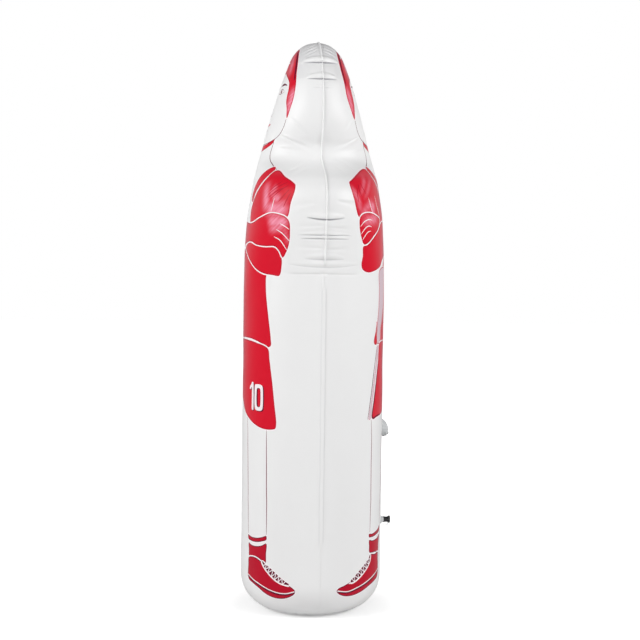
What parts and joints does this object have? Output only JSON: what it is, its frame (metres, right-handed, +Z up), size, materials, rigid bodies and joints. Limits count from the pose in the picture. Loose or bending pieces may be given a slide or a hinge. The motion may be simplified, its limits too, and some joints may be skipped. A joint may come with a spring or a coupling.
{
  "type": "free kick mannequin",
  "caption": "Upright inflatable practice dummy shaped like a head and shoulders on a tall round body, with a ballast chamber, flat base disc, air valve and capped fill valve.",
  "frame": {"origin": "centre of the base disc, on the floor, on the body's axis", "axes": "+Z up along the body; -Y the way the front panel faces; +Y the back panel with both valves; side seams at +X and -X"},
  "size_m": [0.5022, 0.4666, 1.75],
  "materials": {
    "film": "gloss",
    "clear_vinyl": "gloss",
    "silicone": "matte",
    "black_plastic": "satin",
    "black_rubber": "matte"
  },
  "bodies": {
    "body": {"front_panel": "film", "back_panel": "film", "base_panel": "film", "chamber_diaphragm": "film", "air_valve_body": "clear_vinyl", "water_valve_neck": "clear_vinyl", "water_valve_insert": "black_plastic"},
    "air_flap": {"air_valve_flap": "silicone"},
    "air_plug": {"air_valve_plug": "clear_vinyl"},
    "cap_ring": {"water_cap_ring": "clear_vinyl"},
    "water_cap": {"water_valve_cap": "black_plastic", "water_valve_gasket": "black_rubber"}
  },
  "joints": [
    {"name": "air_plug_pull", "type": "slide", "parent": "body", "child": "air_plug", "axis": [0, 0.4695, -0.8829], "range_m": [0, 0.012]},
    {"name": "air_flap_swing", "type": "hinge", "parent": "body", "child": "air_flap", "pos_m": [0, 0.2346, 0.5501], "axis": [-1, 0, 0], "range_deg": [0, 35]},
    {"name": "water_ring_lift", "type": "slide", "parent": "body", "child": "cap_ring", "axis": [0, 1, 0], "range_m": [0, 0.00905]},
    {"name": "water_cap_turn", "type": "hinge", "parent": "cap_ring", "child": "water_cap", "pos_m": [0, 0.245, 0.267], "axis": [0, 1, 0], "range_deg": [0, 1080]}
  ],
  "couplings": [
    {"joint": "water_ring_lift", "follows": "water_cap_turn", "m_per_rad": 0.00047746}
  ]
}
